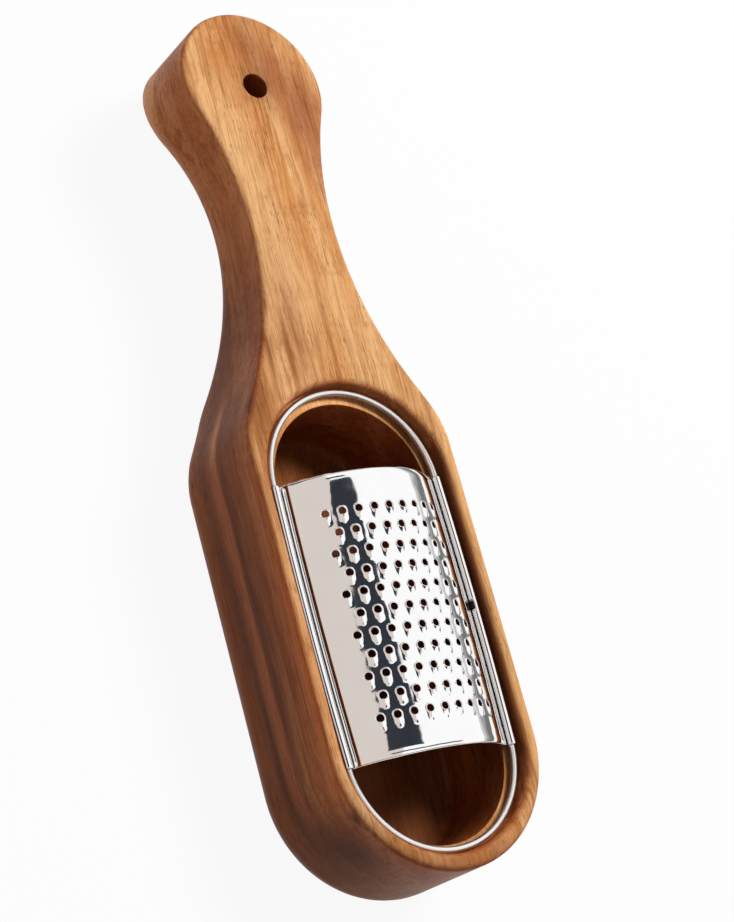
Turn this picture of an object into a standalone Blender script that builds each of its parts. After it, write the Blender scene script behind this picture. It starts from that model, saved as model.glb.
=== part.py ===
"""Cheese grater: a deep wooden box with a scooped handle and a lift-out arched grating plate.

The block is two boards glued flat on flat. It stands on its base with its length along Y, the
handle at +Y and the mouth up. Every size is in metres. The wire loop sets the plate that it
carries and the mouth that it drops into, and the mouth sets the block.
"""

import math

import bmesh
import bpy
import numpy as np

# Wire loop, on its centreline
loop_half_width = 0.0348
loop_length = 0.1677
loop_side_bow = 0.0008
wire_radius = 0.00115
wire_joint_gap = 0.0030

# Grating plate, on the middle of its sheet
plate_past_foot = 0.00275
plate_past_handle = 0.00015
plate_thickness = 0.0005
plate_rise = 0.0146
flange_length = 0.0080
curl_clearance = 0.0003
curl_turn = math.radians(300)
curl_steps = 15
lip_length = 0.0013
lip_drop = 0.0004
notch_length = 0.0033
notch_shift_y = 0.0012
notch_steps = 5

# Teeth: each is a raised drop that ends in a round hole at its handle side
row_pitch = 0.0073
column_pitch = 0.00594
plain_foot_end = 0.0092
plain_handle_end = 0.0113
plain_side = 0.0035
hole_radius = 0.00135
hole_shift_y = 0.0009
hole_front_height = 0.0004
hole_back_height = 0.0007
drop_half_width = 0.0019
drop_front = 0.0027
drop_back = 0.0032

# Mouth of the block: a rebate for the loop above a deep cavity
side_clearance = 0.00205
end_clearance = 0.00065
seat_clearance = 0.0003
ledge_depth = 0.0070
cavity_depth = 0.0332
floor_thickness = 0.0145
ledge_cover_side = 0.0028
ledge_cover_handle = 0.0037
ledge_cover_foot = 0.0022
cavity_corner_radius = 0.0030
lip_round = 0.0028

# Block round the mouth, its handle and its round head
upper_board_thickness = 0.0238
glue_line = 0.0003
side_rim = 0.0052
foot_rim = 0.0062
handle_length = 0.1525
head_radius = 0.0300
neck_half_width = 0.0186
neck_curve_radius = 0.1320
shoulder_radius = 0.0370
shoulder_flat = 0.0078
top_round = 0.0022
base_round = 0.0130
grip_rise = 0.0221
grip_radius = 0.1330
grip_centre_from_end = 0.0708
grip_foot_round = 0.0120
hang_hole_radius = 0.0050
hang_hole_from_end = 0.0314
cut_overrun = 0.0020
smooth_angle = math.radians(35)

# Sizes that follow
rebate_half_width = loop_half_width + wire_radius + side_clearance
rebate_length = loop_length + 2 * (wire_radius + end_clearance)
block_half_width = rebate_half_width + side_rim
block_length = foot_rim + rebate_length + handle_length
block_height = floor_thickness + cavity_depth + ledge_depth
ledge_z = floor_thickness + cavity_depth
block_foot_y = -block_length / 2
block_end_y = block_length / 2
rebate_foot_y = block_foot_y + foot_rim
rebate_handle_y = rebate_foot_y + rebate_length
loop_foot_y = rebate_foot_y + end_clearance + wire_radius
loop_handle_y = loop_foot_y + loop_length
loop_mid_y = (loop_foot_y + loop_handle_y) / 2
loop_half_straight = loop_length / 2 - loop_half_width
curl_radius = wire_radius + curl_clearance + plate_thickness / 2
wire_z = ledge_z + seat_clearance + curl_radius + plate_thickness / 2
plate_foot_y = loop_mid_y - loop_half_straight - plate_past_foot
plate_handle_y = loop_mid_y + loop_half_straight + plate_past_handle
plate_mid_y = (plate_foot_y + plate_handle_y) / 2
upper_board_z = block_height - upper_board_thickness
lower_board_z = upper_board_z - glue_line

# Arch of the plate: a circle through the crown, joined to the curl by a straight flange
arch_radius = (loop_half_width ** 2 + plate_rise ** 2 - curl_radius ** 2 - flange_length ** 2) / (
    2 * (curl_radius + plate_rise)
)
arch_centre_z = wire_z + plate_rise - arch_radius
arch_half_angle = math.atan2(loop_half_width, wire_z - arch_centre_z) - math.atan2(
    flange_length, arch_radius + curl_radius
)
arch_half_length = arch_radius * arch_half_angle
flange_end = arch_half_length + flange_length

# Teeth: as many rows and columns as the arch has room for between its plain borders
teeth_room_y = plate_handle_y - plain_handle_end - (plate_foot_y + plain_foot_end)
teeth_mid_y = plate_foot_y + plain_foot_end + teeth_room_y / 2
tooth_rows = math.floor(teeth_room_y / row_pitch)
tooth_columns = math.floor(2 * (arch_half_length - plain_side) / column_pitch)


def make_material(name, colour, metallic, roughness):
    """A Principled material with one colour."""
    material = bpy.data.materials.new(name)
    material.use_nodes = True
    shader = material.node_tree.nodes["Principled BSDF"]
    shader.inputs["Base Color"].default_value = (*colour, 1.0)
    shader.inputs["Metallic"].default_value = metallic
    shader.inputs["Roughness"].default_value = roughness
    return material


def add_object(name, data, collection, material=None):
    """Link a new object to its collection and give it its material."""
    obj = bpy.data.objects.new(name, data)
    collection.objects.link(obj)
    if material:
        data.materials.append(material)
    return obj


def mesh_from(name, bm, closed=True):
    """Turn a bmesh into a mesh that is smooth but for its sharp edges; a closed one faces outward."""
    if closed:
        bmesh.ops.recalc_face_normals(bm, faces=bm.faces)
    mesh = bpy.data.meshes.new(name)
    bm.to_mesh(mesh)
    bm.free()
    mesh.shade_smooth()
    mesh.set_sharp_from_angle(angle=smooth_angle)
    return mesh


def arc(centre, radius, start, end, steps):
    """Points (x, y) and unit radii along a circular arc, both ends included."""
    angles = np.linspace(start, end, steps + 1)
    radii = np.stack([np.cos(angles), np.sin(angles)], 1)
    return np.array(centre) + radius * radii, radii


def block_outline():
    """Right half of the block's plan from foot to head, as points and outward normals.

    The foot is a half circle, the side is straight, a convex shoulder and a short flat lead
    into the long concave neck, and the neck runs into the round head. All joints are tangent.
    """
    foot_centre_y = block_foot_y + block_half_width
    head_centre_y = block_end_y - head_radius
    neck_x = neck_half_width + neck_curve_radius
    neck_y = head_centre_y - math.sqrt((head_radius + neck_curve_radius) ** 2 - neck_x ** 2)
    shoulder_x = block_half_width - shoulder_radius
    reach = neck_curve_radius + shoulder_radius
    span = math.hypot(reach, shoulder_flat)
    shoulder_y = neck_y - math.sqrt(span ** 2 - (neck_x - shoulder_x) ** 2)
    bearing = math.atan2(neck_y - shoulder_y, neck_x - shoulder_x)
    flat_normal = bearing - math.atan2(shoulder_flat, reach)
    head_joint = math.atan2(neck_y - head_centre_y, neck_x)
    pieces = [
        arc((0, foot_centre_y), block_half_width, -math.pi / 2, 0, 16),
    ]
    side = np.linspace(foot_centre_y, shoulder_y, 7)
    pieces.append((np.stack([np.full(7, block_half_width), side], 1), np.tile((1.0, 0.0), (7, 1))))
    pieces.append(arc((shoulder_x, shoulder_y), shoulder_radius, 0, flat_normal, 9))
    points, radii = arc(
        (neck_x, neck_y), neck_curve_radius, flat_normal + math.pi, head_joint + math.pi, 20
    )
    pieces.append((points, -radii))
    pieces.append(arc((0, head_centre_y), head_radius, head_joint, math.pi / 2, 20))
    points = [pieces[0][0]]
    normals = [pieces[0][1]]
    for piece_points, piece_normals in pieces[1:]:
        skip = int(np.allclose(piece_points[0], points[-1][-1], atol=cut_overrun / 1000))
        points.append(piece_points[skip:])
        normals.append(piece_normals[skip:])
    return np.vstack(points), np.vstack(normals)


def underside(y):
    """Height of the block's underside: flat under the box and an arch under the grip."""
    centre_y = block_end_y - grip_centre_from_end
    centre_z = grip_rise - grip_radius
    reach = grip_radius + grip_foot_round
    foot_y = centre_y - math.sqrt(reach ** 2 - (grip_foot_round - centre_z) ** 2)
    join_y = foot_y + (centre_y - foot_y) * grip_foot_round / reach
    foot_drop = np.sqrt(grip_foot_round ** 2 - np.clip(y - foot_y, 0, join_y - foot_y) ** 2)
    foot = grip_foot_round - foot_drop
    crown = centre_z + np.sqrt(grip_radius ** 2 - np.minimum((y - centre_y) ** 2, grip_radius ** 2))
    return np.where(y < join_y, foot, np.maximum(crown, 0))


def ring_faces(bm, lower, upper):
    """Quads between two rings of vertices."""
    count = len(lower)
    for i in range(count):
        j = (i + 1) % count
        bm.faces.new((lower[i], lower[j], upper[j], upper[i]))


def cross_cap(bm, ring, half_count, flip):
    """Close a ring that is symmetric in X with strips that run straight across it."""
    count = len(ring)
    for i in range(half_count - 1):
        corners = [ring[i], ring[i + 1], ring[(count - i - 1) % count], ring[(count - i) % count]]
        face = list(dict.fromkeys(corners))
        bm.faces.new(face[::-1] if flip else face)


def block_mesh(name):
    """The whole block as a loft of its plan: round base edge, walls and round top edge."""
    half, normals = block_outline()
    half_count = len(half)
    mirror = np.array([-1, 1])
    plan = np.vstack([half, (half * mirror)[-2:0:-1]])
    outward = np.vstack([normals, (normals * mirror)[-2:0:-1]])
    rings = []
    for angle in np.linspace(0, math.pi / 2, 7):
        ring = plan - outward * base_round * (1 - math.sin(angle))
        rings.append((ring, underside(ring[:, 1]) + base_round * (1 - math.cos(angle))))
    for angle in np.linspace(0, math.pi / 2, 5):
        ring = plan - outward * top_round * (1 - math.cos(angle))
        height = block_height - top_round * (1 - math.sin(angle))
        rings.append((ring, np.full(len(ring), height)))
    bm = bmesh.new()
    levels = []
    for ring, heights in rings:
        levels.append([bm.verts.new((x, y, z)) for (x, y), z in zip(ring, heights)])
    for lower, upper in zip(levels, levels[1:]):
        ring_faces(bm, lower, upper)
    cross_cap(bm, levels[0], half_count, True)
    cross_cap(bm, levels[-1], half_count, False)
    return mesh_from(name, bm)


def make_slab_cutter(name, low_z, high_z, collection):
    """A slab over the whole plan that takes one board's share off the block."""
    bm = bmesh.new()
    bmesh.ops.create_cube(bm, size=1)
    slab = add_object(name, mesh_from(name, bm), collection)
    slab.scale = (
        2 * (block_half_width + cut_overrun),
        block_length + 2 * cut_overrun,
        high_z - low_z,
    )
    slab.location.z = (low_z + high_z) / 2
    return slab


def make_board(name, cutters, collection, material):
    """One board of the block: the block less the other board, the mouth and the hanging hole."""
    board = add_object(name, block_mesh(name), collection, material)
    cut(board, cutters)
    return board


def slot_ring(half_width, foot_y, handle_y, steps=18):
    """Plan of a slot with round ends, anticlockwise from its right side."""
    handle, _ = arc((0, handle_y - half_width), half_width, 0, math.pi, steps)
    foot, _ = arc((0, foot_y + half_width), half_width, math.pi, 2 * math.pi, steps)
    return np.vstack([handle, foot])


def make_mouth_cutter(collection):
    """The mouth as one solid: cavity with a round corner, ledge, rebate and flared lip."""
    cavity_half_width = loop_half_width - ledge_cover_side
    cavity_foot_y = loop_foot_y + ledge_cover_foot
    cavity_handle_y = loop_handle_y - ledge_cover_handle
    sections = []
    for angle in np.linspace(0, math.pi / 2, 5):
        inset = cavity_corner_radius * (1 - math.sin(angle))
        height = floor_thickness + cavity_corner_radius * (1 - math.cos(angle))
        ring = slot_ring(cavity_half_width - inset, cavity_foot_y + inset, cavity_handle_y - inset)
        sections.append((ring, height))
    sections.append((slot_ring(cavity_half_width, cavity_foot_y, cavity_handle_y), ledge_z))
    sections.append((slot_ring(rebate_half_width, rebate_foot_y, rebate_handle_y), ledge_z))
    for angle in np.linspace(0, math.pi / 2, 6):
        flare = lip_round * (1 - math.cos(angle))
        height = block_height - lip_round * (1 - math.sin(angle))
        ring = slot_ring(rebate_half_width + flare, rebate_foot_y - flare, rebate_handle_y + flare)
        sections.append((ring, height))
    sections.append((sections[-1][0], block_height + cut_overrun))
    bm = bmesh.new()
    levels = [[bm.verts.new((x, y, height)) for x, y in ring] for ring, height in sections]
    for lower, upper in zip(levels, levels[1:]):
        ring_faces(bm, lower, upper)
    bm.faces.new(levels[0][::-1])
    bm.faces.new(levels[-1])
    return add_object("mouth_cutter", mesh_from("mouth_cutter", bm), collection)


def make_hang_hole_cutter(collection):
    """A straight bore through the round head."""
    bm = bmesh.new()
    bmesh.ops.create_cone(
        bm,
        cap_ends=True,
        segments=32,
        radius1=hang_hole_radius,
        radius2=hang_hole_radius,
        depth=block_height + 2 * cut_overrun,
    )
    cutter = add_object("hang_hole_cutter", mesh_from("hang_hole_cutter", bm), collection)
    cutter.location = (0, block_end_y - hang_hole_from_end, block_height / 2)
    return cutter


def cut(target, cutters):
    """Subtract each cutter from the target and keep the cutters as guides."""
    for cutter in cutters:
        modifier = target.modifiers.new(cutter.name, "BOOLEAN")
        modifier.object = cutter
        cutter.display_type = "WIRE"
        cutter.hide_render = True


def side_bow(y):
    """How far the loop's side stands out at y: a shallow parabola over the straight length."""
    return loop_side_bow * np.maximum(1 - ((y - loop_mid_y) / loop_half_straight) ** 2, 0)


def make_wire_loop(collection, material):
    """The wire: two bowed sides and two half circles, with a butt joint at the notch."""
    joint_y = plate_mid_y + notch_shift_y
    foot_centre_y = loop_mid_y - loop_half_straight
    handle_centre_y = loop_mid_y + loop_half_straight
    down = np.linspace(joint_y - wire_joint_gap / 2, foot_centre_y, 7)
    foot, _ = arc((0, foot_centre_y), loop_half_width, 0, -math.pi, 18)
    up = np.linspace(foot_centre_y, handle_centre_y, 13)
    handle, _ = arc((0, handle_centre_y), loop_half_width, math.pi, 0, 18)
    back = np.linspace(handle_centre_y, joint_y + wire_joint_gap / 2, 7)
    path = np.vstack([
        np.stack([loop_half_width + side_bow(down), down], 1),
        foot[1:],
        np.stack([-loop_half_width - side_bow(up), up], 1)[1:],
        handle[1:],
        np.stack([loop_half_width + side_bow(back), back], 1)[1:],
    ])
    curve = bpy.data.curves.new("wire_frame", "CURVE")
    curve.dimensions = "3D"
    curve.bevel_depth = wire_radius
    curve.bevel_resolution = 2
    curve.use_fill_caps = True
    spline = curve.splines.new("POLY")
    spline.points.add(len(path) - 1)
    for point, (x, y) in zip(spline.points, path):
        point.co = (x, y, 0, 1)
    wire = add_object("wire_frame", curve, collection, material)
    wire.location.z = wire_z
    return wire


def sheet_point(s, y, lift=0.0):
    """Place on the sheet: s runs across it from the crown, lift is along its upper normal.

    The section is the arch, a straight flange, and the curl that turns back up round the wire.
    """
    side = math.copysign(1, s)
    run = abs(s)
    turn = min(run / arch_radius, arch_half_angle)
    normal = np.array([math.sin(turn), math.cos(turn)])
    along = np.array([math.cos(turn), -math.sin(turn)])
    if run <= flange_end:
        place = np.array([0, arch_centre_z]) + arch_radius * normal
        place = place + along * max(run - arch_half_length, 0)
        spread = min(run / arch_half_length, 1) ** 2
    else:
        rolled = arch_half_angle + math.pi - (run - flange_end) / curl_radius
        normal = -np.array([math.sin(rolled), math.cos(rolled)])
        place = np.array([loop_half_width, wire_z]) - curl_radius * normal
        spread = 1
    x, z = place + normal * lift
    return side * (x + float(side_bow(y)) * spread), y, z


class Sheet:
    """An open surface built from faces whose corners are shared by their place (s, y)."""

    def __init__(self):
        self.bm = bmesh.new()
        self.corners = {}

    def corner(self, s, y, lift=0.0):
        """The vertex at s, y, made the first time that it is asked for."""
        key = (round(s / wire_joint_gap, 3), round(y / wire_joint_gap, 3))
        if key not in self.corners:
            self.corners[key] = self.bm.verts.new(sheet_point(s, y, lift))
        return self.corners[key]

    def face(self, corners):
        """One face through corners (s, y) or (s, y, lift), given anticlockwise from above."""
        self.bm.faces.new([self.corner(*corner) for corner in corners])


def tooth_faces(sheet, centre_s, centre_y):
    """One cell of the pattern: flat border, drop-shaped foot and raised round hole."""
    half_s = column_pitch / 2
    half_y = row_pitch / 2
    hole_y = centre_y + hole_shift_y
    border = [(1, 0), (1, 1), (0, 1), (-1, 1), (-1, 0), (-1, -1), (0, -1), (1, -1)]
    foot_shares = [(1, 0.2), (0.75, 0.85), (0, 1), (-0.75, 0.85), (-1, 0.2), (-0.6, -0.7), (0, -1), (0.6, -0.7)]
    outer = [(centre_s + u * half_s, centre_y + v * half_y, 0.0) for u, v in border]
    middle = []
    inner = []
    for i, (u, v) in enumerate(foot_shares):
        reach = drop_front if v > 0 else drop_back
        middle.append((centre_s + u * drop_half_width, centre_y + v * reach, 0.0))
        angle = i * math.pi / 4
        back_share = (1 - math.sin(angle)) / 2
        height = hole_front_height + (hole_back_height - hole_front_height) * back_share
        hole_s = centre_s + hole_radius * math.cos(angle)
        inner.append((hole_s, hole_y + hole_radius * math.sin(angle), height))
    for first, second in ((outer, middle), (middle, inner)):
        for i in range(8):
            j = (i + 1) % 8
            sheet.face([first[i], first[j], second[j], second[i]])


def make_plate(collection, material):
    """The grating plate: arch with its teeth, flanges, end lips and edges curled round the wire."""
    sheet = Sheet()
    half_pitch = column_pitch / 2
    field_half = tooth_columns * half_pitch
    rows_y = [teeth_mid_y + (i - tooth_rows / 2) * row_pitch for i in range(tooth_rows + 1)]
    foot_crease_y = plate_foot_y + lip_length
    handle_crease_y = plate_handle_y - lip_length
    lines_y = [plate_foot_y, foot_crease_y, *rows_y, handle_crease_y, plate_handle_y]
    columns = [i * half_pitch for i in range(-tooth_columns, tooth_columns + 1)]
    steps = [curl_radius * curl_turn * i / curl_steps for i in range(curl_steps + 1)]
    outer = [arch_half_length] + [flange_end + step for step in steps]

    def lip_lift(s, y):
        on_arch = abs(s) <= arch_half_length
        return -lip_drop if on_arch and y in (plate_foot_y, plate_handle_y) else 0.0

    def patch(s0, s1, y0, y1, extra=()):
        corners = [(s0, y0), (s1, y0), (s1, y1), (s0, y1)]
        corners = corners[:2] + [c for c in extra if c[0] == s1] + corners[2:]
        corners = corners + [c for c in extra if c[0] == s0]
        sheet.face([(s, y, lip_lift(s, y)) for s, y in corners])

    for row in range(tooth_rows):
        mid_y = (rows_y[row] + rows_y[row + 1]) / 2
        count = tooth_columns - row % 2
        for i in range(count):
            tooth_faces(sheet, (i - (count - 1) / 2) * column_pitch, mid_y)
        edge = count * half_pitch
        if count < tooth_columns:
            patch(edge, columns[-1], rows_y[row], rows_y[row + 1], [(edge, mid_y)])
            patch(columns[0], -edge, rows_y[row], rows_y[row + 1], [(-edge, mid_y)])
            seam = []
        else:
            seam = [mid_y]
        extra = [(field_half, y) for y in seam]
        patch(field_half, arch_half_length, rows_y[row], rows_y[row + 1], extra)
        extra = [(-field_half, y) for y in seam]
        patch(-arch_half_length, -field_half, rows_y[row], rows_y[row + 1], extra)
    for y0, y1 in zip(lines_y, lines_y[1:]):
        if y0 in rows_y and y1 in rows_y:
            continue
        for s0, s1 in zip(columns, columns[1:]):
            patch(s0, s1, y0, y1)
        patch(field_half, arch_half_length, y0, y1)
        patch(-arch_half_length, -field_half, y0, y1)

    notch_y = plate_mid_y + notch_shift_y
    notch_ends = (notch_y - notch_length / 2, notch_y + notch_length / 2)
    notch_start = outer[-1 - notch_steps]
    for y0, y1 in zip(lines_y, lines_y[1:]):
        inside = [y for y in notch_ends if y0 < y < y1]
        for s0, s1 in zip(outer, outer[1:]):
            patch(-s1, -s0, y0, y1)
            if s1 < notch_start:
                patch(s0, s1, y0, y1)
            elif s1 == notch_start:
                patch(s0, s1, y0, y1, [(s1, y) for y in inside])
            else:
                bounds = [y0, *inside, y1]
                for low, high in zip(bounds, bounds[1:]):
                    if not notch_ends[0] <= (low + high) / 2 <= notch_ends[1]:
                        patch(s0, s1, low, high)
    plate = add_object("grating_plate", mesh_from("grating_plate", sheet.bm, closed=False), collection, material)
    shell = plate.modifiers.new("sheet", "SOLIDIFY")
    shell.thickness = plate_thickness
    shell.offset = 0
    shell.use_even_offset = True
    return plate


for old in list(bpy.data.objects):
    bpy.data.objects.remove(old, do_unlink=True)
grater = bpy.data.collections.new("cheese_grater")
guides = bpy.data.collections.new("cutters")
bpy.context.scene.collection.children.link(grater)
bpy.context.scene.collection.children.link(guides)

upper_acacia = make_material("upper_acacia", (0.46, 0.24, 0.10), 0.0, 0.45)
lower_acacia = make_material("lower_acacia", (0.36, 0.17, 0.08), 0.0, 0.45)
wire_steel = make_material("polished_wire", (0.78, 0.78, 0.78), 1.0, 0.12)
sheet_steel = make_material("polished_sheet", (0.80, 0.80, 0.80), 1.0, 0.08)

below = make_slab_cutter("below_glue_line", -cut_overrun, upper_board_z, guides)
above = make_slab_cutter("above_glue_line", lower_board_z, block_height + cut_overrun, guides)
openings = [make_mouth_cutter(guides), make_hang_hole_cutter(guides)]
make_board("upper_board", [below, *openings], grater, upper_acacia)
make_board("lower_board", [above, *openings], grater, lower_acacia)
make_wire_loop(grater, wire_steel)
make_plate(grater, sheet_steel)
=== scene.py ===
import math

import bmesh
import bpy
import numpy as np
from mathutils import Matrix, Vector
from mathutils.geometry import delaunay_2d_cdt


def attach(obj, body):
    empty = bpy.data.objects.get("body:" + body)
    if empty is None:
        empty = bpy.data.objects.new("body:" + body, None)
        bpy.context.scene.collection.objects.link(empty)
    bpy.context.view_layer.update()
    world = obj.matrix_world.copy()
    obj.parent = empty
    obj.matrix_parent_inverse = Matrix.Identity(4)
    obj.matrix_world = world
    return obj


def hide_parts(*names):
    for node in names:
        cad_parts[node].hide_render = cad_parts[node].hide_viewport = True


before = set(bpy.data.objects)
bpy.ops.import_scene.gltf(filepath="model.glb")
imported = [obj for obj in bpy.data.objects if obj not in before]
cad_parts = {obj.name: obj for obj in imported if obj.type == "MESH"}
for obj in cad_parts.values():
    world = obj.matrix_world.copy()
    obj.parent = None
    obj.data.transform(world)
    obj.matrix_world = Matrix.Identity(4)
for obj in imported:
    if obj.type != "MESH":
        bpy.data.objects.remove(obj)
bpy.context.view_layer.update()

# The block: two boards of oiled acacia, glued flat on flat and then shaped as one. The plan is
# sawn, the edges are routed round, the grip is hollowed from below, and the mouth and the
# hanging hole are bored. Sizes are in metres.

block_foot_y = -0.165
block_end_y = 0.165
block_half_width = 0.0432
block_height = 0.0547
head_radius = 0.0300
neck_half_width = 0.0186
neck_curve_radius = 0.1320
shoulder_radius = 0.0370
shoulder_flat = 0.0078
top_round = 0.0022
base_round = 0.0130
grip_rise = 0.0221
grip_radius = 0.1330
grip_centre_y = 0.0942
grip_foot_round = 0.0120
glue_z = 0.03075
glue_gap = 0.00006

rebate_half_width = 0.0380
rebate_foot_y = -0.1588
rebate_handle_y = 0.0125
cavity_half_width = 0.0320
cavity_foot_y = -0.1548
cavity_handle_y = 0.0070
cavity_floor_z = 0.0145
cavity_corner_radius = 0.0030
ledge_z = 0.0477
ledge_edge_round = 0.0004
rebate_fillet = 0.0005
lip_round = 0.0028
hang_hole_radius = 0.0050
hang_hole_y = 0.1336
hang_hole_edge = 0.0004

# Places inside the underside's outline that let its triangles follow the grip's arch
lattice_x = np.arange(-0.04, 0.041, 0.004)
lattice_y = np.arange(0.016, 0.150, 0.003)
lattice_edge_room = 0.002
lattice_bore_room = 0.0015


def arc(centre, radius, start, end, count):
    """Points and unit radii of an arc: the centre plus the radius times (cos, sin) of each angle."""
    angles = np.linspace(start, end, count)
    radii = np.stack([np.cos(angles), np.sin(angles)], 1)
    return np.array(centre) + radius * radii, radii


def block_plan():
    """The block's plan anticlockwise from the foot, and its outward normals.

    A half circle at the foot, a straight side, a convex shoulder, a short flat, the long concave
    neck and the round head follow each other on tangents. The left half mirrors the right one.
    """
    foot_y = block_foot_y + block_half_width
    head_y = block_end_y - head_radius
    neck_x = neck_half_width + neck_curve_radius
    neck_y = head_y - math.sqrt((head_radius + neck_curve_radius) ** 2 - neck_x ** 2)
    shoulder_x = block_half_width - shoulder_radius
    reach = neck_curve_radius + shoulder_radius
    shoulder_y = neck_y - math.sqrt(math.hypot(reach, shoulder_flat) ** 2 - (neck_x - shoulder_x) ** 2)
    bearing = math.atan2(neck_y - shoulder_y, neck_x - shoulder_x)
    flat_normal = bearing - math.atan2(shoulder_flat, reach)
    head_joint = math.atan2(neck_y - head_y, neck_x)
    foot = arc((0, foot_y), block_half_width, -math.pi / 2, 0, 46)
    side_y = np.linspace(foot_y, shoulder_y, 42)[1:-1]
    side = np.column_stack([np.full(len(side_y), block_half_width), side_y])
    side = (side, np.tile((1.0, 0.0), (len(side), 1)))
    shoulder = arc((shoulder_x, shoulder_y), shoulder_radius, 0, flat_normal, 16)
    neck, radii = arc((neck_x, neck_y), neck_curve_radius, flat_normal + math.pi, head_joint + math.pi, 72)
    share = np.linspace(0, 1, 6)[1:-1, None]
    flat = shoulder[0][-1] * (1 - share) + neck[0] * share
    flat = (flat, np.tile(shoulder[1][-1], (len(flat), 1)))
    head = arc((0, head_y), head_radius, head_joint, math.pi / 2, 44)
    head = (head[0][1:], head[1][1:])
    half = [np.vstack(part) for part in zip(foot, side, shoulder, flat, (neck, -radii), head)]
    return [np.vstack([part, (part * (-1, 1))[-2:0:-1]]) for part in half]


def underside(y):
    """Height of the underside: nought under the box, then a small fillet and the grip's arch.

    Both are circles: the centre's height less or plus the root of the radius squared less the
    square of the distance along the block from that centre.
    """
    centre_z = grip_rise - grip_radius
    reach = grip_radius + grip_foot_round
    foot_y = grip_centre_y - math.sqrt(reach ** 2 - (grip_foot_round - centre_z) ** 2)
    join_y = foot_y + (grip_centre_y - foot_y) * grip_foot_round / reach
    fillet = grip_foot_round - np.sqrt(grip_foot_round ** 2 - np.clip(y - foot_y, 0, join_y - foot_y) ** 2)
    off_centre = np.minimum(np.abs(y - grip_centre_y), grip_radius)
    crown = centre_z + np.sqrt(grip_radius ** 2 - off_centre ** 2)
    return np.where(y < join_y, fillet, np.maximum(crown, 0))


def base_angle(plan, outward, z):
    """How far round the base edge the height z is reached, at most a quarter turn.

    The cosine is one less the height above the underside over the edge's radius, and the
    underside is read where the edge then stands, so the two are settled by turns.
    """
    angle = np.full(len(plan), math.pi / 2)
    for _ in range(30):
        foot = underside(plan[:, 1] - outward[:, 1] * base_round * (1 - np.sin(angle)))
        angle = np.arccos(np.clip(1 - (z - foot) / base_round, 0, 1))
    return angle


def slot_ring(inset_x, foot_y, handle_y, steps=56):
    """Plan of a slot with round ends, anticlockwise: a half circle at each end of the straights."""
    handle = arc((0, handle_y - inset_x), inset_x, 0, math.pi, steps)[0]
    foot = arc((0, foot_y + inset_x), inset_x, math.pi, 2 * math.pi, steps)[0]
    return np.vstack([handle, foot])


def at_height(ring, z):
    """A plan's points lifted to the height z, which is one number or one for each point."""
    return np.column_stack([ring, np.broadcast_to(z, len(ring))])


def loft(rows, inward=False):
    """Vertices and quads of rows of points, each row closed on itself, from the first to the last."""
    rows = np.array(rows)
    high, wide = rows.shape[:2]
    here = np.arange(high * wide).reshape(high, wide)
    after = np.roll(here, -1, 1)
    faces = np.stack([here[:-1], after[:-1], after[1:], here[1:]], -1).reshape(-1, 4)
    return rows.reshape(-1, 3), faces[:, ::-1] if inward else faces


def flat_patch(rings, height, extra=(), down=False):
    """A level face with holes: triangles between its rings, and through the extra points.

    A triangle is kept where a ray from its middle crosses the rings an odd number of times.
    """
    points = [Vector(p) for ring in rings for p in ring]
    edges = []
    start = 0
    for ring in rings:
        count = len(ring)
        edges += [(start + i, start + (i + 1) % count) for i in range(count)]
        start += count
    points += [Vector(p) for p in extra]
    plan, _, faces, *_ = delaunay_2d_cdt(points, edges, [], 0, 1e-8)
    plan = np.array([tuple(p) for p in plan])
    faces = np.array([face for face in faces if len(face) == 3])
    middle = plan[faces].mean(1)
    crossings = np.zeros(len(faces), int)
    for ring in rings:
        after = np.roll(ring, -1, 0)
        spans = (ring[None, :, 1] > middle[:, None, 1]) != (after[None, :, 1] > middle[:, None, 1])
        rise = np.where(after[:, 1] == ring[:, 1], 1, after[:, 1] - ring[:, 1])
        at_x = ring[:, 0] + (middle[:, None, 1] - ring[:, 1]) * (after[:, 0] - ring[:, 0]) / rise
        crossings += (spans & (at_x > middle[:, None, 0])).sum(1)
    faces = faces[crossings % 2 == 1]
    side = np.cross(plan[faces[:, 1]] - plan[faces[:, 0]], plan[faces[:, 2]] - plan[faces[:, 0]])
    faces = np.where((side > 0)[:, None] ^ down, faces, faces[:, ::-1])
    return at_height(plan, height(plan[:, 1]) if callable(height) else height), faces


def join_patches(name, patches, merge=1e-6):
    """One mesh object of patches of vertices and faces, with the vertices that meet made one."""
    faces = []
    start = 0
    for points, patch_faces in patches:
        faces += (np.array(patch_faces) + start).tolist()
        start += len(points)
    mesh = bpy.data.meshes.new(name)
    mesh.from_pydata(np.vstack([points for points, _ in patches]), [], faces)
    bm = bmesh.new()
    bm.from_mesh(mesh)
    bmesh.ops.remove_doubles(bm, verts=bm.verts, dist=merge)
    bmesh.ops.dissolve_degenerate(bm, edges=bm.edges, dist=merge / 10)
    bm.to_mesh(mesh)
    bm.free()
    piece = bpy.data.objects.new(name, mesh)
    bpy.context.scene.collection.objects.link(piece)
    return piece


def soften(piece, angle=40):
    """Smooth shading that breaks only at edges sharper than the angle and lets broad faces rule."""
    piece.data.shade_smooth()
    piece.data.set_sharp_from_angle(angle=math.radians(angle))
    weigh = piece.modifiers.new("broad faces", "WEIGHTED_NORMAL")
    weigh.keep_sharp = True


plan, outward = block_plan()
joint_low = glue_z - glue_gap / 2
joint_high = glue_z + glue_gap / 2
quarter = np.linspace(0, math.pi / 2, 8)


def wall_at(z):
    """Plan of the outer wall at height z: drawn in wherever the round base edge reaches that high."""
    inset = base_round * (1 - np.sin(base_angle(plan, outward, z)))
    return plan - outward * inset[:, None]


def bore_ring(radius):
    """Plan of the hanging hole at a radius."""
    return arc((0, hang_hole_y), radius, 0, 2 * math.pi, 49)[0][:-1]


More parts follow.
